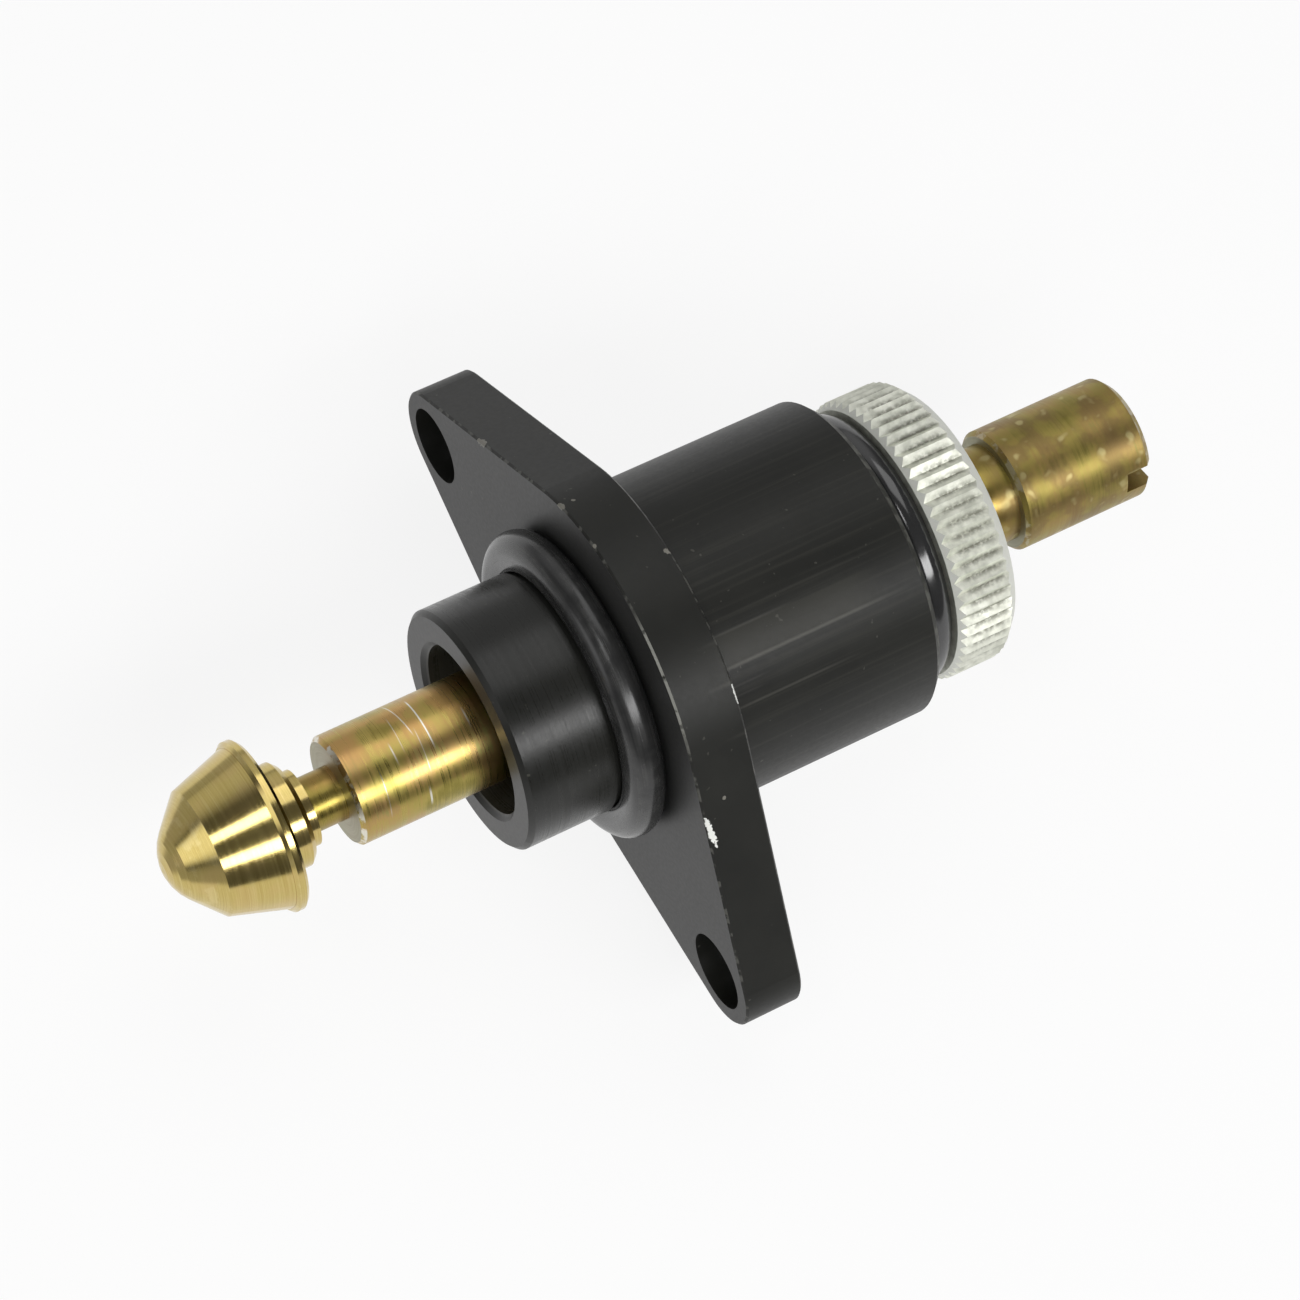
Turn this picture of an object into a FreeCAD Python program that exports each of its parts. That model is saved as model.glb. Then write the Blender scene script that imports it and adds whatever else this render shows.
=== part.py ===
import FreeCAD, Part
import math
import os

# Screw-adjusted idle control valve. Sizes in millimetres.
# The valve's axis is X with the nose toward +X. The flange's front face is the plane X = 0.
# The two ears lie along Y, and Z is up.

# One-piece body: spigot, flange and barrel
spigot_d = 18.0
spigot_length = 9.7
spigot_edge = 0.35
seat_d = 17.6
seat_length = 2.95
flange_round_d = 30.0
flange_thickness = 4.45
flange_edge = 0.15
ear_radius = 4.15
bolt_spacing = 43.0
bolt_hole_d = 5.8
bolt_line_drop = 6.5
barrel_d = 24.0
barrel_length = 16.95
barrel_edge = 0.5
mouth_d = 12.7
mouth_depth = 12.0
mouth_edge = 0.4

# Spindle: pin, plunger, screw, neck and slotted head in one piece
plunger_d = 8.1
plunger_face_x = 19.9
plunger_edge = 0.3
screw_d = 10.0
screw_front_x = -4.0
screw_edge = 0.5
rear_neck_d = 7.4
head_d = 9.2
head_length = 10.7
head_edge = 0.5
slot_width = 1.8
slot_depth = 2.2
slot_angle = 27.5
pin_d = 4.0
button_d = 5.0
button_length = 1.2
pin_neck_length = 2.5

# Brass cone with its rim, disc and crimped hub
hub_d = 5.6
hub_length = 0.75
disc_d = 7.7
disc_length = 1.93
rim_d = 12.6
rim_length = 0.93
shoulder_d = 11.9
nose_base_d = 9.3
frustum_length = 4.1
nose_length = 4.25
tip_radius = 3.8
tip_steps = 4
disc_edge = 0.4
rim_edge = 0.25

# Seals and lock nut
face_seal_section = 2.75
nut_seal_section = 2.7
seal_sides = 8
nut_seal_height = 2.3
nut_seal_outer_d = 20.6
nut_d = 21.4
nut_width = 5.1
nut_rear_edge = 1.0
nut_front_edge = 0.5
knurl_count = 64
knurl_depth = 0.35
nut_mouth_edge = 0.5
nut_to_head = 4.4

# Clearances
screw_clearance = 0.05
pin_clearance = 0.05
button_end_play = 0.05
seal_clearance = 0.01

os.makedirs("parts", exist_ok=True)
axis_x = FreeCAD.Vector(1, 0, 0)
centre = FreeCAD.Vector(0, 0, 0)


def turned(profile):
    # A solid turned about X from (x, radius) corners
    corners = [FreeCAD.Vector(x, r, 0) for x, r in profile]
    wire = Part.makePolygon(corners + [corners[0]])
    return Part.Face(wire).revolve(centre, axis_x, 360)


def on_circle(circle, angle):
    # A point of a circle that lies in the flange's front plane
    y, z, radius = circle
    return FreeCAD.Vector(0, y + radius * math.cos(angle), z + radius * math.sin(angle))


def belt_outline(circles):
    # The closed outline of a belt laid around circles taken counter-clockwise
    count = len(circles)
    normals = []
    for i in range(count):
        y0, z0, r0 = circles[i]
        y1, z1, r1 = circles[(i + 1) % count]
        run = math.hypot(y1 - y0, z1 - z0)
        normals.append(math.atan2(z1 - z0, y1 - y0) - math.acos((r0 - r1) / run))
    edges = []
    for i in range(count):
        arrive = normals[i - 1]
        leave = normals[i]
        while leave < arrive:
            leave += 2 * math.pi
        first = on_circle(circles[i], arrive)
        middle = on_circle(circles[i], (arrive + leave) / 2)
        last = on_circle(circles[i], leave)
        edges.append(Part.Arc(first, middle, last).toShape())
        following = on_circle(circles[(i + 1) % count], leave)
        edges.append(Part.makeLine(last, following))
    return Part.Wire(edges)


def make_body():
    round_part = (0, 0, flange_round_d / 2)
    near_ear = (bolt_spacing / 2, -bolt_line_drop, ear_radius)
    far_ear = (-bolt_spacing / 2, -bolt_line_drop, ear_radius)
    outline = belt_outline([near_ear, round_part, far_ear, round_part])
    flange = Part.Face(outline).extrude(FreeCAD.Vector(-flange_thickness, 0, 0))
    rims = []
    for edge in flange.Edges:
        stations = [vertex.X for vertex in edge.Vertexes]
        if max(stations) - min(stations) < flange_thickness / 2:
            rims.append(edge)
    flange = flange.makeChamfer(flange_edge, rims)
    spigot = turned([
        (-flange_thickness / 2, 0),
        (-flange_thickness / 2, seat_d / 2),
        (seat_length, seat_d / 2),
        (seat_length, spigot_d / 2),
        (spigot_length - spigot_edge, spigot_d / 2),
        (spigot_length, spigot_d / 2 - spigot_edge),
        (spigot_length, 0),
    ])
    barrel = turned([
        (barrel_rear_x, 0),
        (barrel_rear_x, barrel_d / 2 - barrel_edge),
        (barrel_rear_x + barrel_edge, barrel_d / 2),
        (-flange_thickness / 2, barrel_d / 2),
        (-flange_thickness / 2, 0),
    ])
    guide_d = screw_d + 2 * screw_clearance
    passage = turned([
        (spigot_length, 0),
        (spigot_length, mouth_d / 2 + mouth_edge),
        (spigot_length - mouth_edge, mouth_d / 2),
        (spigot_length - mouth_depth, mouth_d / 2),
        (spigot_length - mouth_depth, guide_d / 2),
        (barrel_rear_x, guide_d / 2),
        (barrel_rear_x, 0),
    ])
    body = flange.fuse([spigot, barrel]).cut(passage)
    for side in (-1, 1):
        seat = FreeCAD.Vector(-flange_thickness, side * bolt_spacing / 2, -bolt_line_drop)
        body = body.cut(Part.makeCylinder(bolt_hole_d / 2, flange_thickness, seat, axis_x))
    return body.removeSplitter()


def make_face_seal():
    # Round section drawn with straight sides, flat where it touches its seat and the flange
    section_r = face_seal_section / 2
    corner_r = section_r / math.cos(math.pi / seal_sides)
    mean_r = seat_d / 2 + section_r + seal_clearance
    middle_x = section_r + seal_clearance
    profile = []
    for i in range(seal_sides):
        angle = 2 * math.pi * (i + 0.5) / seal_sides
        profile.append((middle_x + corner_r * math.cos(angle), mean_r + corner_r * math.sin(angle)))
    return turned(profile)


def make_nut_seal():
    # Squeezed flat on its two faces, still round inside and outside
    bulge = nut_seal_height / 2
    middle_x = nut_front_x + bulge
    outer_r = nut_seal_outer_d / 2 - bulge
    inner_r = nut_seal_outer_d / 2 - nut_seal_section + bulge
    steps = seal_sides // 2 - 1
    profile = []
    for i in range(steps + 1):
        angle = math.pi * i / steps
        profile.append((middle_x + bulge * math.cos(angle), outer_r + bulge * math.sin(angle)))
    for i in range(steps + 1):
        angle = math.pi * (1 + i / steps)
        profile.append((middle_x + bulge * math.cos(angle), inner_r + bulge * math.sin(angle)))
    return turned(profile)


def make_spindle():
    body = turned([
        (button_x + button_length, 0),
        (button_x + button_length, button_d / 2),
        (button_x, button_d / 2),
        (button_x, pin_d / 2),
        (plunger_face_x, pin_d / 2),
        (plunger_face_x, plunger_d / 2 - plunger_edge),
        (plunger_face_x - plunger_edge, plunger_d / 2),
        (screw_front_x, plunger_d / 2),
        (screw_front_x, screw_d / 2 - screw_edge),
        (screw_front_x - screw_edge, screw_d / 2),
        (screw_rear_x + screw_edge, screw_d / 2),
        (screw_rear_x, screw_d / 2 - screw_edge),
        (screw_rear_x, rear_neck_d / 2),
        (head_front_x, rear_neck_d / 2),
        (head_front_x, head_d / 2 - plunger_edge),
        (head_front_x - plunger_edge, head_d / 2),
        (head_rear_x + head_edge, head_d / 2),
        (head_rear_x, head_d / 2 - head_edge),
        (head_rear_x, 0),
    ])
    slot = Part.makeBox(slot_depth, head_d, slot_width, FreeCAD.Vector(head_rear_x, -head_d / 2, -slot_width / 2))
    slot.rotate(centre, axis_x, slot_angle)
    return body.cut(slot)


def make_cone():
    hub_front_x = hub_rear_x + hub_length
    disc_front_x = hub_front_x + disc_length
    rim_front_x = disc_front_x + rim_length
    nose_x = rim_front_x + frustum_length
    point_x = nose_x + nose_length
    slope = math.atan2(nose_base_d / 2, nose_length)
    ball_x = point_x - tip_radius / math.sin(slope)
    touch_x = ball_x + tip_radius * math.sin(slope)
    touch_r = tip_radius * math.cos(slope)
    ball = []
    for i in range(tip_steps + 1):
        turn = (math.pi / 2 - slope) * (1 - i / tip_steps)
        ball.append((ball_x + tip_radius * math.cos(turn), tip_radius * math.sin(turn)))
    ball[0] = (touch_x, touch_r)
    ball[-1] = (ball_x + tip_radius, 0)
    cavity_front_x = button_x + button_length + button_end_play
    cavity_rear_x = button_x - button_end_play
    bore_r = pin_d / 2 + pin_clearance
    cavity_r = button_d / 2 + pin_clearance
    return turned([
        (cavity_front_x, 0),
        (cavity_front_x, cavity_r),
        (cavity_rear_x, cavity_r),
        (cavity_rear_x, bore_r),
        (hub_rear_x, bore_r),
        (hub_rear_x, hub_d / 2),
        (hub_front_x, hub_d / 2),
        (hub_front_x, disc_d / 2 - disc_edge),
        (hub_front_x + disc_edge, disc_d / 2),
        (disc_front_x, disc_d / 2),
        (disc_front_x, rim_d / 2 - rim_edge),
        (disc_front_x + rim_edge, rim_d / 2),
        (rim_front_x - rim_edge, rim_d / 2),
        (rim_front_x, rim_d / 2 - rim_edge),
        (rim_front_x, shoulder_d / 2),
        (nose_x, nose_base_d / 2),
    ] + ball)


def make_nut():
    # A knurled bar, chamfered at both ends so that its teeth run out on the chamfers
    top = nut_d / 2
    pitch = 2 * math.pi / knurl_count
    corners = []
    for i in range(knurl_count):
        for radius, turn in ((top - knurl_depth, i * pitch), (top, (i + 0.5) * pitch)):
            corners.append(FreeCAD.Vector(nut_rear_x, radius * math.cos(turn), radius * math.sin(turn)))
    bar = Part.Face(Part.makePolygon(corners + [corners[0]])).extrude(axis_x * nut_width)
    reach = nut_width / 4
    envelope = turned([
        (nut_rear_x, 0),
        (nut_rear_x, top - nut_rear_edge),
        (nut_rear_x + nut_rear_edge + reach, top + reach),
        (nut_front_x - nut_front_edge - reach, top + reach),
        (nut_front_x, top - nut_front_edge),
        (nut_front_x, 0),
    ])
    bore_r = screw_d / 2 + screw_clearance
    bore = turned([
        (nut_rear_x, 0),
        (nut_rear_x, bore_r + nut_mouth_edge),
        (nut_rear_x + nut_mouth_edge, bore_r),
        (nut_front_x, bore_r),
        (nut_front_x, 0),
    ])
    return bar.common(envelope).cut(bore)


# Stations along the axis that follow from the sizes above
barrel_rear_x = -flange_thickness - barrel_length
nut_front_x = barrel_rear_x - nut_seal_height
nut_rear_x = nut_front_x - nut_width
screw_rear_x = nut_rear_x + screw_edge
head_front_x = nut_rear_x - nut_to_head
head_rear_x = head_front_x - head_length
hub_rear_x = plunger_face_x + pin_neck_length
button_x = hub_rear_x + hub_length + disc_length / 2

make_body().exportStep("parts/valve_body.step")
make_face_seal().exportStep("parts/flange_o_ring.step")
make_spindle().exportStep("parts/spindle.step")
make_cone().exportStep("parts/pintle_cone.step")
make_nut_seal().exportStep("parts/nut_o_ring.step")
make_nut().exportStep("parts/lock_nut.step")
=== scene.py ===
import math
import bpy
import bmesh
from mathutils import Matrix, Vector


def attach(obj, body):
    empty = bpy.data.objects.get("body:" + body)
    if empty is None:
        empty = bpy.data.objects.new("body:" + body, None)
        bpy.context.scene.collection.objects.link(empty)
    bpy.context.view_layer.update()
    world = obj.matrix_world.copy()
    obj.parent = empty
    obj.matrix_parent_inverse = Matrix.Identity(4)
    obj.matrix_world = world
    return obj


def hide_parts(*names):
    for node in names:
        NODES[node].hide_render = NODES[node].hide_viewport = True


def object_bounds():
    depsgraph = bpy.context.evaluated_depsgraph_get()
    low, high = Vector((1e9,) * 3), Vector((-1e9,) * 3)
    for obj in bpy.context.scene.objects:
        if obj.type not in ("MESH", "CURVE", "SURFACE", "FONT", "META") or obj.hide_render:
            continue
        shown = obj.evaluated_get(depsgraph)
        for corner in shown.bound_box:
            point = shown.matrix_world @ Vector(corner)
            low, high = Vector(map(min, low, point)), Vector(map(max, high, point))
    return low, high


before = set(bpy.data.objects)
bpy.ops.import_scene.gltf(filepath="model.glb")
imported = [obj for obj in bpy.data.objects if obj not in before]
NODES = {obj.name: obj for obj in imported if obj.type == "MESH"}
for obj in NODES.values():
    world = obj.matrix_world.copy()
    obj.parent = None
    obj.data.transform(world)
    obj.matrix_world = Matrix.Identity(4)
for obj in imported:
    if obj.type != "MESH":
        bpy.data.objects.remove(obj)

CAD_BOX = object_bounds()
MM = 0.001

# Camera of the photograph: tilt of the valve's axis, its slope in the picture and the roll of the ears
TILT = math.radians(17.971)
SLOPE = math.radians(-24.555)
ROLL = math.radians(12.418)
# The flange's centre as the camera sees it, in a unit of 0.971 mm
FIT_UNIT = 0.971
CENTRE_IN_CAMERA = Vector((-4.301, 1.867, 329.169)) * FIT_UNIT * MM
LENS_MM = 127.617
SENSOR_MM = 36.0
NEAREST = 0.01
FARTHEST = 20.0

# Sections of the two seals in millimetres: middle along the axis, mean radius, half thickness, half height
FACE_SEAL = (1.385, 10.185, 1.375, 1.375)
REAR_SEAL = (-22.55, 8.95, 1.15, 1.35)
# The smaller this power, the squarer the inner half of a section
SQUEEZE = 0.2
SECTION_STEPS = 32
SEAL_STEPS = 160
SEAM = 0.001 * MM

# Where finishes change, as stations in millimetres along the axis from the flange's front face
FLANGE_REAR = -4.4
FLANGE_FRONT_EDGE = (-0.6, 0.4)
GRAIN_START = (FLANGE_REAR, -5.6)
SPIGOT = (2.6, 9.4)
SPIGOT_ROOT = (0.0, 2.8)
PLUNGER_REAR = (8.0, 9.0)
PIN = (20.2, 24.0)
NECK = (-33.1, -28.0)
HEAD_FRONT = (-31.0, -33.2)
KNURL = (-27.8, -24.7)

# Where finishes change, as radii in millimetres
MOUTH_WALL = (6.36, 6.5)
CLEAR_OF_SPIGOT = (10.5, 12.0)
FLANGE_RIM = (13.0, 14.0)
KNURL_GROOVE = (10.36, 10.60)

# Where finishes change, as turns about the axis in degrees from +Y toward +Z
FLANGE_CROWN = (52.0, 84.0)
PLUNGER_UPPER_SIDE = (97.0, 142.0)

# Marks along the barrel: turn, half width in degrees, front and rear station, fade, strength. The band is
# painted highlight; the tool marks are also painted bright where that highlight crosses them
HIGHLIGHT_BAND = (66.5, 5.5, FLANGE_REAR, -17.0, 2.0, 0.5)
RUN_OUT = (54.0, 5.6, FLANGE_REAR, -8.6, 0.9, 0.7)
# Milling marks, painted bright as part of the barrel's highlight
MILLED_LINES_AND_HIGHLIGHT = (
    (60.9, 0.5, FLANGE_REAR, -17.5, 3.0, 1.0),
    (72.2, 0.35, FLANGE_REAR, -10.5, 2.0, 0.6),
    (46.4, 0.4, -4.6, -13.5, 2.5, 0.6),
    (54.3, 0.25, -4.6, -8.0, 1.0, 0.35),
    (50.9, 0.25, -4.6, -7.5, 1.0, 0.3),
    (77.0, 0.3, -9.0, -17.0, 3.0, 0.2),
)

# Chips in the black finish: centre in millimetres, direction, half length, half width
BARE_CHIPS = (
    ((-0.3, 14.75, 6.37), (-0.13, 0.69, -0.71), 1.30, 0.24),
    ((-4.42, 7.95, 12.6), (0.0, 0.83, -0.56), 0.75, 0.16),
)
FAINT_CHIPS = (
    ((-4.25, -2.32, 14.82), (0.0, 1.0, 0.0), 0.26, 0.24),
    ((-0.06, -17.52, 3.39), (0.0, 0.69, 0.72), 0.7, 0.3),
    ((-0.09, -8.84, 12.04), (0.0, 0.8, 0.6), 0.4, 0.25),
    ((-1.03, -8.87, 12.09), (0.0, 1.0, 0.0), 0.16, 0.14),
    ((-0.1, -4.85, 14.14), (0.0, 1.0, 0.0), 0.2, 0.16),
    ((-1.8, 13.2, 7.9), (0.0, 1.0, 0.0), 0.16, 0.14),
)

# Scratches around the plunger: station, climb a degree, half width, first and last turn, strength
SCRATCHES = (
    (13.3, 0.0, 0.05, 80.0, 140.0, 1.0),
    (14.5, -0.008, 0.04, 100.0, 152.0, 0.7),
    (14.1, 0.004, 0.03, 60.0, 100.0, 0.5),
    (16.1, 0.0, 0.05, 80.0, 96.0, 0.7),
    (15.3, 0.003, 0.03, 88.0, 125.0, 0.4),
    (14.6, 0.0, 0.07, 22.0, 40.0, 0.8),
    (17.6, 0.002, 0.03, 30.0, 75.0, 0.4),
    (10.4, 0.0, 0.05, 84.0, 100.0, 0.7),
)

# Lamps: name, place and size in metres, power in watts
LAMPS = (
    ("key", (-0.02, 0.43, 0.45), (0.66, 0.18), 2.9),
    ("overhead", (-0.22, -0.34, 0.68), (0.60, 0.50), 1.35),
    ("nose_light", (0.26, -0.01, 0.60), (0.15, 0.09), 0.28),
)

# The room: the ways to a bright card and to a paler side, and the strength of each
CARD_WAY = (0.983, -0.13, 0.13)
SIDE_WAY = (0.0, -0.94, 0.34)
ROOM = 0.12
CARD = 1.5
SIDE = 0.55
WHITE = (1.0, 1.0, 1.0)

# The sheet under the part: its half size and the gap below the part in metres, and its whiteness
SHEET_HALF = 6.0
SHEET_GAP = 0.0002
SHEET_WHITE = (0.94, 0.94, 0.94)
# How much of the sheet's own white is seen, and how reflections dim past an edge in front of the cone
SHEET_SHARE = 0.86
SHEET_EDGE_WAY = (0.88, -0.47, 0.0)
SHEET_EDGE = (0.048, 0.060)
PAST_EDGE = -0.6

NUMBER = "NodeSocketFloat"
VECTOR = "NodeSocketVector"


def camera_matrix():
    # Rows of the part's axes seen from a camera with x right, y down and z forward
    back = Vector((math.cos(TILT) * math.cos(SLOPE), math.cos(TILT) * math.sin(SLOPE), math.sin(TILT)))
    across = Vector((-math.sin(SLOPE), math.cos(SLOPE), 0.0))
    toward = -back.cross(across)
    ears = math.cos(ROLL) * across + math.sin(ROLL) * toward
    up = -math.sin(ROLL) * across + math.cos(ROLL) * toward
    part = Matrix((-back, ears, up)).transposed()
    seat = -(part.transposed() @ CENTRE_IN_CAMERA)
    turn = Matrix((part[0], -part[1], -part[2])).transposed()
    return Matrix.Translation(seat) @ turn.to_4x4()


def add_camera():
    data = bpy.data.cameras.new("photo_camera")
    data.sensor_width = SENSOR_MM
    data.lens = LENS_MM
    data.clip_start = NEAREST
    data.clip_end = FARTHEST
    camera = bpy.data.objects.new("photo_camera", data)
    bpy.context.collection.objects.link(camera)
    camera.matrix_world = camera_matrix()
    bpy.context.scene.camera = camera


def plug(tree, value, socket):
    # Joins a socket to a socket, or sets a plain value on it
    if isinstance(value, bpy.types.NodeSocket):
        tree.links.new(value, socket)
    elif isinstance(value, tuple) and socket.type == "RGBA":
        socket.default_value = value + (1.0,)
    else:
        socket.default_value = value


def maths(tree, operation, *values):
    made = tree.nodes.new("ShaderNodeMath")
    made.operation = operation
    for place, value in enumerate(values):
        plug(tree, value, made.inputs[place])
    return made.outputs[0]


def times(tree, *values):
    product = values[0]
    for value in values[1:]:
        product = maths(tree, "MULTIPLY", product, value)
    return product


def highest(tree, *masks):
    top = masks[0]
    for mask in masks[1:]:
        top = maths(tree, "MAXIMUM", top, mask)
    return top


def vectors(tree, operation, *values):
    made = tree.nodes.new("ShaderNodeVectorMath")
    made.operation = operation
    for place, value in enumerate(values):
        plug(tree, value, made.inputs[place])
    return made.outputs["Value"] if operation == "DOT_PRODUCT" else made.outputs["Vector"]


def point(tree, *parts):
    made = tree.nodes.new("ShaderNodeCombineXYZ")
    for place, part in enumerate(parts):
        plug(tree, part, made.inputs[place])
    return made.outputs[0]


def remap(tree, value, low, high, first=0.0, last=1.0):
    made = tree.nodes.new("ShaderNodeMapRange")
    made.interpolation_type = "SMOOTHSTEP"
    for place, item in enumerate((value, low, high, first, last)):
        plug(tree, item, made.inputs[place])
    return made.outputs[0]


def ramp(tree, value, *stops):
    made = tree.nodes.new("ShaderNodeValToRGB")
    points = made.color_ramp.elements
    while len(points) < len(stops):
        points.new(0.5)
    for stop, (place, colour) in zip(points, stops):
        stop.position = place
        stop.color = colour + (1.0,)
    plug(tree, value, made.inputs[0])
    return made.outputs[0]


def tint(tree, colour, shade, *masks):
    # Lays a shade over a colour as far as the product of the masks
    made = tree.nodes.new("ShaderNodeMix")
    made.data_type = "RGBA"
    for place, value in ((0, times(tree, *masks)), (6, colour), (7, shade)):
        plug(tree, value, made.inputs[place])
    return made.outputs[2]


def noise(tree, where, scale, detail=3.0):
    made = tree.nodes.new("ShaderNodeTexNoise")
    plug(tree, where, made.inputs["Vector"])
    plug(tree, scale, made.inputs["Scale"])
    made.inputs["Detail"].default_value = detail
    return made.outputs["Fac"]


def facing(tree):
    # 1 on a face that looks ahead along the axis, 0 on one that looks sideways
    split = tree.nodes.new("ShaderNodeSeparateXYZ")
    plug(tree, tree.nodes.new("ShaderNodeTexCoord").outputs["Normal"], split.inputs[0])
    return split.outputs[0]


def group(name, inputs, outputs):
    tree = bpy.data.node_groups.new(name, "ShaderNodeTree")
    for label, kind, value in inputs:
        tree.interface.new_socket(label, in_out="INPUT", socket_type=kind).default_value = value
    for label, kind in outputs:
        tree.interface.new_socket(label, in_out="OUTPUT", socket_type=kind)
    return tree, tree.nodes.new("NodeGroupInput").outputs, tree.nodes.new("NodeGroupOutput").inputs


def use(tree, name, **inputs):
    made = tree.nodes.new("ShaderNodeGroup")
    made.node_tree = bpy.data.node_groups[name]
    for label, value in inputs.items():
        plug(tree, value, made.inputs[label])
    return made.outputs


def between(tree, value, low, high, soft):
    return use(tree, "stretch", Value=value, Low=low, High=high, Soft=soft)["Mask"]


def edge_wear(tree, amount, scale):
    return use(tree, "edge_wear", Amount=amount, Scale=scale)["Mask"]


def lathe_marks(tree, fineness):
    return use(tree, "lathe_marks", Fineness=fineness)["Marks"]


def make_about_axis():
    # Place in millimetres, and the same place as station along the axis, turn in degrees and radius
    outputs = (("Place", VECTOR), ("Station", NUMBER), ("Turn", NUMBER), ("Radius", NUMBER))
    tree, _, result = group("about_axis", (), outputs)
    here = tree.nodes.new("ShaderNodeTexCoord").outputs["Object"]
    place = vectors(tree, "SCALE", here)
    place.node.inputs["Scale"].default_value = 1.0 / MM
    split = tree.nodes.new("ShaderNodeSeparateXYZ")
    plug(tree, place, split.inputs[0])
    x, y, z = split.outputs
    plug(tree, place, result["Place"])
    plug(tree, x, result["Station"])
    plug(tree, times(tree, maths(tree, "ARCTAN2", z, y), math.degrees(1.0)), result["Turn"])
    squares = maths(tree, "ADD", times(tree, y, y), times(tree, z, z))
    plug(tree, maths(tree, "SQRT", squares), result["Radius"])


def make_stretch():
    # 1 between two values, fading softly on both sides
    inputs = (("Value", NUMBER, 0.0), ("Low", NUMBER, 0.0), ("High", NUMBER, 1.0), ("Soft", NUMBER, 0.1))
    tree, given, result = group("stretch", inputs, (("Mask", NUMBER),))
    soft = given["Soft"]
    rise, fall = (
        remap(tree, given["Value"], maths(tree, "SUBTRACT", end, soft), maths(tree, "ADD", end, soft))
        for end in (given["Low"], given["High"])
    )
    plug(tree, maths(tree, "SUBTRACT", rise, fall), result["Mask"])


def make_lathe_marks():
    # Fine rings left by a turning tool, wandering slowly around the axis
    wander = 0.014
    tree, given, result = group("lathe_marks", (("Fineness", NUMBER, 8.0),), (("Marks", NUMBER),))
    axis = use(tree, "about_axis")
    fineness = given["Fineness"]
    where = point(
        tree,
        times(tree, axis["Station"], fineness),
        times(tree, axis["Radius"], fineness),
        times(tree, axis["Turn"], wander),
    )
    plug(tree, noise(tree, where, 1.0), result["Marks"])


def make_edge_wear():
    # Rubbed chamfers: where the surface slants to the axis, broken up by a ragged pattern
    slant_low, slant_high, slant_soft = 0.55, 0.86, 0.04
    unworn, spread, ragged_edge = 0.85, 0.7, 0.12
    inputs = (("Amount", NUMBER, 0.5), ("Scale", NUMBER, 1.0))
    tree, given, result = group("edge_wear", inputs, (("Mask", NUMBER),))
    slant = between(tree, maths(tree, "ABSOLUTE", facing(tree)), slant_low, slant_high, slant_soft)
    pattern = noise(tree, use(tree, "about_axis")["Place"], given["Scale"], 4.0)
    start = maths(tree, "SUBTRACT", unworn, times(tree, given["Amount"], spread))
    ragged = remap(tree, pattern, start, maths(tree, "ADD", start, ragged_edge))
    plug(tree, times(tree, slant, ragged), result["Mask"])


def make_chip():
    # A ragged spot of bared metal, longer along one direction
    grain, raggedness = 3.6, 3.4
    full, gone = 0.75, 1.05
    inputs = (
        ("Centre", VECTOR, (0.0, 0.0, 0.0)),
        ("Direction", VECTOR, (1.0, 0.0, 0.0)),
        ("Length", NUMBER, 1.0),
        ("Width", NUMBER, 0.5),
    )
    tree, given, result = group("chip", inputs, (("Mask", NUMBER),))
    place = use(tree, "about_axis")["Place"]
    away = vectors(tree, "SUBTRACT", place, given["Centre"])
    along = vectors(tree, "DOT_PRODUCT", away, given["Direction"])
    along_square = times(tree, along, along)
    across_square = maths(tree, "SUBTRACT", vectors(tree, "DOT_PRODUCT", away, away), along_square)
    long_part = maths(tree, "DIVIDE", along_square, times(tree, given["Length"], given["Length"]))
    wide_part = maths(tree, "DIVIDE", across_square, times(tree, given["Width"], given["Width"]))
    ragged = times(tree, maths(tree, "SUBTRACT", noise(tree, place, grain), 0.5), raggedness)
    reach = maths(tree, "ADD", maths(tree, "ADD", long_part, wide_part), ragged)
    plug(tree, remap(tree, reach, full, gone, 1.0, 0.0), result["Mask"])


def new_material(name):
    material = bpy.data.materials.new(name)
    material.use_nodes = True
    tree = material.node_tree
    tree.nodes.clear()
    output = tree.nodes.new("ShaderNodeOutputMaterial")
    shader = tree.nodes.new("ShaderNodeBsdfPrincipled")
    tree.links.new(shader.outputs[0], output.inputs[0])
    return material, tree, shader.inputs


def roughen(tree, shader, height, strength, depth_mm):
    made = tree.nodes.new("ShaderNodeBump")
    made.inputs["Strength"].default_value = strength
    made.inputs["Distance"].default_value = depth_mm * MM
    plug(tree, height, made.inputs["Height"])
    plug(tree, made.outputs[0], shader["Normal"])


def streak(tree, axis, turn, half_turn, front, rear, fade, strength):
    # A mark along the barrel: a narrow span of turn between two stations
    soft_sides = 0.45
    across = between(tree, axis["Turn"], turn - half_turn, turn + half_turn, soft_sides)
    along = between(tree, axis["Station"], rear, front, fade)
    return times(tree, across, along, strength)


def scratch(tree, axis, station, climb, half_width, first_turn, last_turn, strength):
    # A mark around the plunger that climbs a little along the axis
    soft_sides = 0.03
    soft_ends = 6.0
    level = maths(tree, "MULTIPLY_ADD", axis["Turn"], climb, axis["Station"])
    middle = station + climb * (first_turn + last_turn) / 2
    across = between(tree, level, middle - half_width, middle + half_width, soft_sides)
    around = between(tree, axis["Turn"], first_turn, last_turn, soft_ends)
    return times(tree, across, around, strength)


def chipped(tree, chips):
    spots = []
    for centre, direction, length, width in chips:
        spot = use(tree, "chip", Centre=centre, Direction=direction, Length=length, Width=width)
        spots.append(spot["Mask"])
    return highest(tree, *spots)


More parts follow.
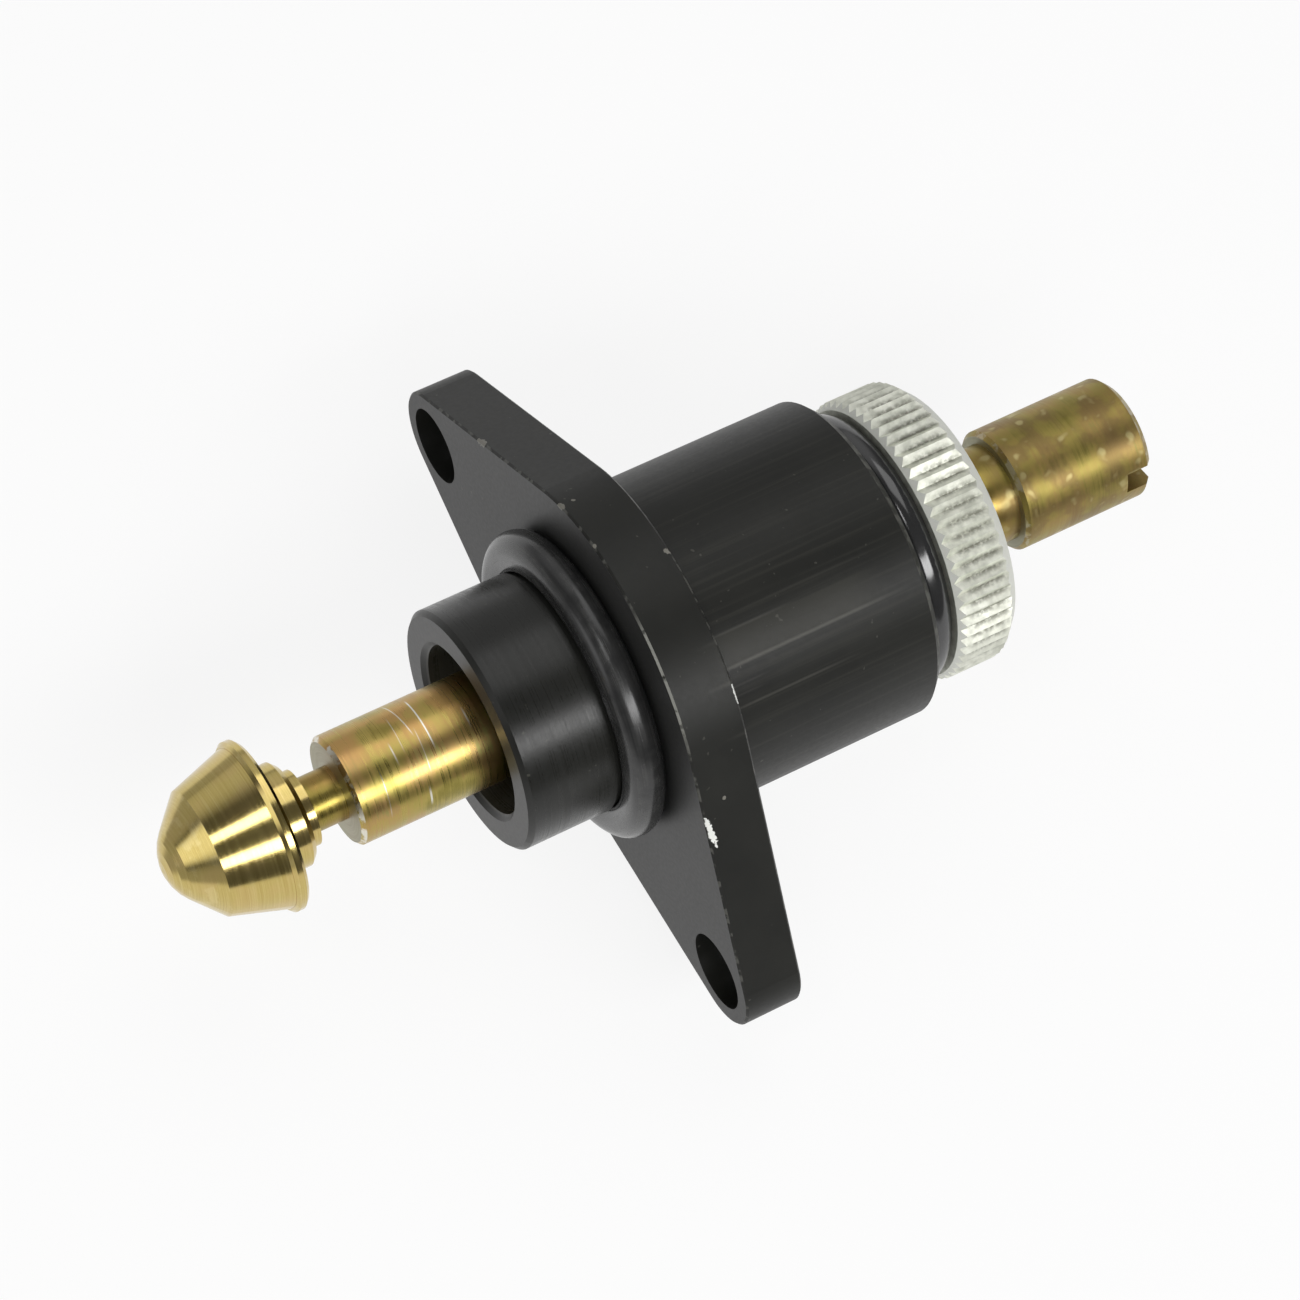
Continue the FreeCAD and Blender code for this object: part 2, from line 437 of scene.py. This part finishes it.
def anodised_ground(tree, axis):
    # Black that drifts a little, painted a shade paler as light on faces square to the axis and as fill
    # light inside the mouth
    cloud = noise(tree, axis["Place"], 0.16)
    colour = ramp(tree, cloud, (0.3, (0.0098, 0.0100, 0.0084)), (0.7, (0.0156, 0.0157, 0.0131)))
    # Painted light: faces that look ahead along the axis get a paler black, mottled by the drift
    ahead = remap(tree, facing(tree), 0.88, 0.96)
    patchy = remap(tree, cloud, 0.3, 0.7, 0.7, 1.0)
    colour = tint(tree, colour, (0.036, 0.036, 0.0355), ahead, patchy)
    # Painted fill light: the mouth's wall gets a paler black
    inside = remap(tree, axis["Radius"], *MOUTH_WALL, 1.0, 0.0)
    return tint(tree, colour, (0.06, 0.06, 0.054), inside)


def barrel_marks_and_highlight(tree, axis, colour, lines):
    # A band of painted highlight, a dark run-out beside the flange, grain along the barrel, and tool marks
    # painted bright as part of that highlight
    # Painted highlight band across the barrel
    colour = tint(tree, colour, (0.040, 0.039, 0.031), streak(tree, axis, *HIGHLIGHT_BAND))
    colour = tint(tree, colour, (0.006, 0.006, 0.005), streak(tree, axis, *RUN_OUT))
    where = point(tree, times(tree, axis["Station"], 0.05), times(tree, axis["Turn"], 0.55))
    grain = remap(tree, noise(tree, where, 1.0, 4.0), 0.46, 0.72, 0.0, 0.55)
    barrel = remap(tree, axis["Station"], *GRAIN_START)
    colour = tint(tree, colour, (0.027, 0.0265, 0.0215), grain, barrel)
    # Tool marks painted bright: partly real marks, partly painted highlight
    return tint(tree, colour, (0.088, 0.086, 0.074), lines, 0.75)


def rubbed_edges_and_crown_highlight(tree, axis, colour):
    # Rubbed on every outer edge; at the crown of the flange's front edge the wear is painted brightest, as
    # a highlight
    rubbed = times(tree, edge_wear(tree, 0.52, 1.1), remap(tree, axis["Radius"], *CLEAR_OF_SPIGOT))
    crown = between(tree, axis["Turn"], *FLANGE_CROWN, 7.0)
    front = between(tree, axis["Station"], *FLANGE_FRONT_EDGE, 0.2)
    rim = remap(tree, axis["Radius"], *FLANGE_RIM)
    crown_wear_and_highlight = times(tree, edge_wear(tree, 0.75, 1.6), times(tree, crown, front, rim))
    colour = tint(tree, colour, (0.20, 0.20, 0.18), rubbed, 0.35)
    # Painted highlight on the worn crown of the flange's front edge
    return tint(tree, colour, (0.42, 0.42, 0.38), crown_wear_and_highlight, 0.6)


def black_anodised():
    material, tree, shader = new_material("black_anodised")
    axis = use(tree, "about_axis")
    lines = highest(tree, *(streak(tree, axis, *line) for line in MILLED_LINES_AND_HIGHLIGHT))
    colour = anodised_ground(tree, axis)
    colour = barrel_marks_and_highlight(tree, axis, colour, lines)
    colour = rubbed_edges_and_crown_highlight(tree, axis, colour)
    bare = chipped(tree, BARE_CHIPS)
    colour = tint(tree, colour, (0.23, 0.22, 0.19), chipped(tree, FAINT_CHIPS), 0.8)
    colour = tint(tree, colour, (0.86, 0.87, 0.83), bare)
    specks = remap(tree, noise(tree, axis["Place"], 1.9, 1.0), 0.74, 0.80)
    colour = tint(tree, colour, (0.16, 0.155, 0.13), specks, 0.25)
    plug(tree, colour, shader["Base Color"])
    # The turned spigot is smoother and shinier than the milled rest
    spigot = between(tree, axis["Station"], *SPIGOT, 0.2)
    rings = lathe_marks(tree, 7.0)
    fine = noise(tree, axis["Place"], 3.0, 2.0)
    smooth = times(tree, spigot, remap(tree, rings, 0.3, 0.7, -0.19, -0.07))
    satin = maths(tree, "ADD", smooth, remap(tree, fine, 0.3, 0.7, 0.42, 0.46))
    plug(tree, maths(tree, "MULTIPLY_ADD", bare, -0.05, satin), shader["Roughness"])
    shader["Specular IOR Level"].default_value = 0.27
    plug(tree, remap(tree, axis["Station"], *SPIGOT_ROOT, 0.0, 0.18), shader["Coat Weight"])
    shader["Coat Roughness"].default_value = 0.31
    height = maths(tree, "ADD", times(tree, rings, 0.5), times(tree, fine, 0.5))
    roughen(tree, shader, maths(tree, "SUBTRACT", height, lines), 0.10, 0.05)
    return material


def seal_rubber(name, dustiness, shine, roughness):
    material, tree, shader = new_material(name)
    axis = use(tree, "about_axis")
    scuffs = lathe_marks(tree, 3.2)
    dust = noise(tree, axis["Place"], 0.9, 4.0)
    dusty = times(tree, remap(tree, scuffs, 0.30, 0.78), remap(tree, dust, 0.20, 0.66), dustiness)
    colour = tint(tree, (0.0190, 0.0190, 0.0192), (0.052, 0.052, 0.050), dusty)
    plug(tree, colour, shader["Base Color"])
    shader["Specular IOR Level"].default_value = shine
    plug(tree, maths(tree, "MULTIPLY_ADD", dusty, 0.12, roughness), shader["Roughness"])
    roughen(tree, shader, maths(tree, "ADD", dust, scuffs), 0.05, 0.05)
    return material


def plated_ground(tree, axis, rings):
    # Yellow plating that drifts in tone, browner along the plunger's upper side, darker on pin and neck
    drift = noise(tree, axis["Place"], 0.34)
    tone = maths(tree, "ADD", times(tree, drift, 0.7), times(tree, rings, 0.3))
    colour = ramp(
        tree, tone,
        (0.34, (0.27, 0.225, 0.055)),
        (0.44, (0.42, 0.34, 0.095)),
        (0.52, (0.46, 0.33, 0.105)),
        (0.58, (0.46, 0.30, 0.115)),
        (0.68, (0.36, 0.33, 0.110)),
    )
    upper = between(tree, axis["Turn"], *PLUNGER_UPPER_SIDE, 10.0)
    patchy = remap(tree, noise(tree, axis["Place"], 0.42, 2.0), 0.36, 0.54, 0.10, 0.65)
    plunger = remap(tree, axis["Station"], *PLUNGER_REAR)
    colour = tint(tree, colour, (0.52, 0.29, 0.115), upper, patchy, plunger)
    pin_and_neck = highest(tree, *(between(tree, axis["Station"], *span, 0.1) for span in (PIN, NECK)))
    return tint(tree, colour, (0.20, 0.145, 0.028), pin_and_neck, 0.5)


def blotched_head(tree, axis, colour, head):
    blotch = remap(tree, noise(tree, axis["Place"], 0.45), 0.42, 0.60)
    fleck_and_highlight = remap(tree, noise(tree, axis["Place"], 0.9, 1.0), 0.60, 0.74)
    colour = tint(tree, colour, (0.19, 0.155, 0.045), head, 0.45)
    colour = tint(tree, colour, (0.22, 0.145, 0.065), head, blotch, 0.65)
    # Pale flecks: partly mottling, partly painted highlights
    return tint(tree, colour, (0.62, 0.55, 0.26), head, fleck_and_highlight, 0.5)


def yellow_zinc():
    material, tree, shader = new_material("yellow_zinc")
    axis = use(tree, "about_axis")
    rings = lathe_marks(tree, 9.0)
    head = remap(tree, axis["Station"], *HEAD_FRONT)
    colour = plated_ground(tree, axis, rings)
    colour = blotched_head(tree, axis, colour, head)
    # Plating thins to grey on faces that look ahead, and to bare steel on scratches and rubbed edges
    face = remap(tree, facing(tree), 0.90, 0.97)
    colour = tint(tree, colour, (0.36, 0.36, 0.29), face, 0.8)
    scratches = highest(tree, *(scratch(tree, axis, *mark) for mark in SCRATCHES))
    rubbed = times(tree, edge_wear(tree, 0.54, 1.3), maths(tree, "MULTIPLY_ADD", head, -0.55, 0.8))
    colour = tint(tree, colour, (0.82, 0.81, 0.74), highest(tree, scratches, rubbed))
    plug(tree, colour, shader["Base Color"])
    shader["Metallic"].default_value = 1.0
    dull = times(tree, highest(tree, face, head), 0.12)
    plug(tree, maths(tree, "ADD", remap(tree, rings, 0.3, 0.7, 0.26, 0.36), dull), shader["Roughness"])
    roughen(tree, shader, maths(tree, "SUBTRACT", rings, scratches), 0.02, 0.03)
    return material


def turned_brass():
    material, tree, shader = new_material("turned_brass")
    axis = use(tree, "about_axis")
    rings = lathe_marks(tree, 14.0)
    colour = ramp(
        tree, rings,
        (0.25, (0.49, 0.37, 0.115)),
        (0.55, (0.57, 0.45, 0.16)),
        (0.80, (0.63, 0.51, 0.21)),
    )
    drift = remap(tree, noise(tree, axis["Place"], 0.5, 2.0), 0.42, 0.66)
    colour = tint(tree, colour, (0.62, 0.43, 0.20), drift, 0.25)
    colour = tint(tree, colour, (0.86, 0.74, 0.40), edge_wear(tree, 0.5, 0.7), 0.2)
    plug(tree, colour, shader["Base Color"])
    shader["Metallic"].default_value = 1.0
    plug(tree, remap(tree, rings, 0.3, 0.7, 0.13, 0.19), shader["Roughness"])
    roughen(tree, shader, rings, 0.05, 0.02)
    return material


def bright_zinc():
    material, tree, shader = new_material("bright_zinc")
    axis = use(tree, "about_axis")
    cloud = noise(tree, axis["Place"], 1.3, 4.0)
    pits = noise(tree, axis["Place"], 3.4, 2.0)
    colour = ramp(
        tree, cloud,
        (0.32, (0.62, 0.63, 0.55)),
        (0.52, (0.78, 0.79, 0.70)),
        (0.70, (0.90, 0.91, 0.82)),
    )
    # Painted shade in the grooves of the knurl; smooth and pale on the chamfers
    grooved = between(tree, axis["Station"], *KNURL, 0.5)
    groove_shade = remap(tree, axis["Radius"], *KNURL_GROOVE, 1.0, 0.0)
    patchy = remap(tree, pits, 0.30, 0.60, 0.30, 0.95)
    colour = tint(tree, colour, (0.30, 0.30, 0.25), grooved, groove_shade, patchy)
    rim = edge_wear(tree, 1.2, 1.0)
    colour = tint(tree, colour, (0.78, 0.79, 0.73), rim)
    plug(tree, colour, shader["Base Color"])
    plug(tree, maths(tree, "MULTIPLY_ADD", rim, -0.4, 0.8), shader["Metallic"])
    satin = remap(tree, pits, 0.3, 0.7, 0.48, 0.60)
    plug(tree, maths(tree, "MULTIPLY_ADD", rim, 0.12, satin), shader["Roughness"])
    roughen(tree, shader, maths(tree, "ADD", cloud, pits), 0.18, 0.08)
    return material


def dress(name, material):
    mesh = NODES[name].data
    mesh.materials.clear()
    mesh.materials.append(material)


def add_seal(name, section, node, body, material):
    # A moulded ring: a round section drawn out to its height, then spun about the valve's axis
    station, mean_radius, half_width, half_height = (value * MM for value in section)
    shape = bmesh.new()
    bmesh.ops.create_circle(shape, segments=SECTION_STEPS, radius=half_width)
    for vert in shape.verts:
        # The inner half is squeezed square against the seat
        if vert.co.y < 0:
            across = abs(vert.co.x) / half_width
            vert.co.x = math.copysign(half_width * across ** SQUEEZE, vert.co.x)
        vert.co.y += math.copysign(half_height - half_width, vert.co.y)
    bmesh.ops.translate(shape, verts=shape.verts, vec=(station, mean_radius, 0.0))
    bmesh.ops.spin(shape, geom=shape.verts[:] + shape.edges[:], cent=(0.0, 0.0, 0.0), axis=(1.0, 0.0, 0.0),
                   angle=2 * math.pi, steps=SEAL_STEPS, use_merge=True)
    bmesh.ops.remove_doubles(shape, verts=shape.verts, dist=SEAM)
    bmesh.ops.recalc_face_normals(shape, faces=shape.faces)
    for face in shape.faces:
        face.smooth = True
    mesh = bpy.data.meshes.new(name)
    shape.to_mesh(mesh)
    shape.free()
    mesh.materials.append(material)
    ring = bpy.data.objects.new(name, mesh)
    bpy.context.collection.objects.link(ring)
    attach(ring, body)
    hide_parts(node)


def add_lamp(name, place, size, power):
    data = bpy.data.lights.new(name, "AREA")
    data.shape = "RECTANGLE"
    data.size, data.size_y = size
    data.energy = power
    lamp = bpy.data.objects.new(name, data)
    bpy.context.collection.objects.link(lamp)
    lamp.location = place
    lamp.rotation_euler = (-Vector(place)).to_track_quat("-Z", "Y").to_euler()


def pale_sheet():
    material, tree, shader = new_material("pale_floor")
    plug(tree, SHEET_WHITE, shader["Base Color"])
    shader["Roughness"].default_value = 0.9
    shader["Specular IOR Level"].default_value = 0.0
    # Seen directly or in a reflection it is a white sheet that keeps a light shadow
    ray = tree.nodes.new("ShaderNodeLightPath").outputs
    seen = highest(tree, ray["Is Camera Ray"], ray["Is Glossy Ray"], ray["Is Transmission Ray"])
    here = tree.nodes.new("ShaderNodeTexCoord").outputs["Object"]
    past = remap(tree, vectors(tree, "DOT_PRODUCT", here, SHEET_EDGE_WAY), *SHEET_EDGE)
    dim = times(tree, past, ray["Is Glossy Ray"], PAST_EDGE)
    own_white = tree.nodes.new("ShaderNodeEmission")
    plug(tree, maths(tree, "ADD", dim, 1.0), own_white.inputs["Strength"])
    both = tree.nodes.new("ShaderNodeMixShader")
    plug(tree, times(tree, seen, SHEET_SHARE), both.inputs[0])
    plug(tree, shader["Base Color"].node.outputs[0], both.inputs[1])
    plug(tree, own_white.outputs[0], both.inputs[2])
    plug(tree, both.outputs[0], tree.get_output_node("ALL").inputs[0])
    return material


def add_floor(height):
    shape = bmesh.new()
    bmesh.ops.create_grid(shape, x_segments=1, y_segments=1, size=SHEET_HALF)
    mesh = bpy.data.meshes.new("floor")
    shape.to_mesh(mesh)
    shape.free()
    mesh.materials.append(pale_sheet())
    floor = bpy.data.objects.new("floor", mesh)
    bpy.context.collection.objects.link(floor)
    floor.location = (0.0, 0.0, height)


def add_world():
    # A dim room, paler on one side, with a bright card ahead of the cone
    world = bpy.data.worlds.new("studio")
    bpy.context.scene.world = world
    world.use_nodes = True
    tree = world.node_tree
    light = tree.nodes["Background"].inputs
    way = tree.nodes.new("ShaderNodeTexCoord").outputs["Generated"]
    card = remap(tree, vectors(tree, "DOT_PRODUCT", way, CARD_WAY), 0.93, 0.99, ROOM, CARD)
    side = remap(tree, vectors(tree, "DOT_PRODUCT", way, SIDE_WAY), 0.72, 1.0, 0.0, SIDE)
    plug(tree, maths(tree, "ADD", card, side), light["Strength"])
    plug(tree, WHITE, light["Color"])


for make in (make_about_axis, make_stretch, make_lathe_marks, make_edge_wear, make_chip):
    make()
add_camera()
# The front seal is dusty and duller, the rear one clean and glossy
face_rubber = seal_rubber("face_seal_rubber", dustiness=1.0, shine=0.5, roughness=0.21)
rear_rubber = seal_rubber("rear_seal_rubber", dustiness=0.0, shine=0.9, roughness=0.15)
dress("valve_body", black_anodised())
dress("flange_o_ring", face_rubber)
dress("nut_o_ring", rear_rubber)
dress("spindle", yellow_zinc())
dress("pintle_cone", turned_brass())
dress("lock_nut", bright_zinc())
add_seal("flange_seal_ring", FACE_SEAL, "flange_o_ring", "housing", face_rubber)
add_seal("nut_seal_ring", REAR_SEAL, "nut_o_ring", "rear_seal", rear_rubber)
add_floor(CAD_BOX[0][2] - SHEET_GAP)
add_world()
for lamp in LAMPS:
    add_lamp(*lamp)

bpy.context.scene.view_settings.view_transform = "Standard"
